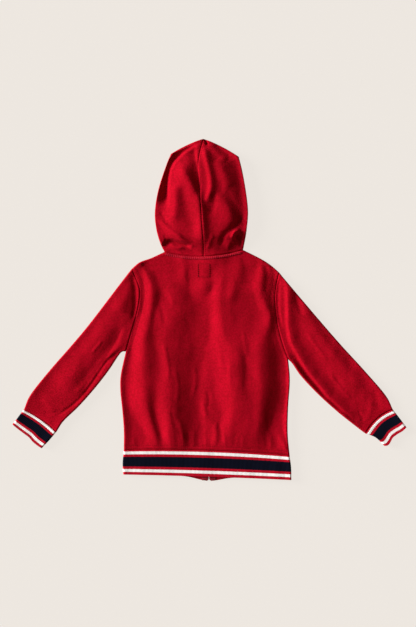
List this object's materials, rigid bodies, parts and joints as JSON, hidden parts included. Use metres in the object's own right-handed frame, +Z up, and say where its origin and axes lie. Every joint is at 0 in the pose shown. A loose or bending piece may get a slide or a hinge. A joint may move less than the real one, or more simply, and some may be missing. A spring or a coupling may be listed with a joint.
{
  "type": "hoodie",
  "caption": "Child's zip-front hooded sweatshirt in red fleece with striped rib cuffs and hem band, laid flat on its front with the hood spread.",
  "frame": {"origin": "under the middle of the garment's bounding box, on the surface it lies on", "axes": "+Z up off the surface, out of the garment's back; +Y towards the hood; +X towards the garment's right sleeve"},
  "size_m": [0.7858, 0.6827, 0.0303],
  "materials": {
    "fleece": "brushed sweatshirt knit",
    "rib": "rib knit striped red, white and navy",
    "zip": "woven tape with moulded teeth",
    "slider": "satin metal"
  },
  "bodies": {
    "garment": {"back": "fleece", "front_left": "fleece", "front_right": "fleece", "sleeve_left": "fleece", "sleeve_right": "fleece", "hood_left": "fleece", "hood_right": "fleece", "cuff_left": "rib", "cuff_right": "rib", "hem_band": "rib", "zip": "zip", "slider": "slider"},
    "pull": {"pull_tab": "slider"}
  },
  "joints": [
    {"name": "pull_tab_hinge", "type": "hinge", "parent": "garment", "child": "pull", "pos_m": [-0.00891, 0.048, 0.0014], "axis": [0.9997, 0.0231, 0], "range_deg": [0, 140]}
  ]
}
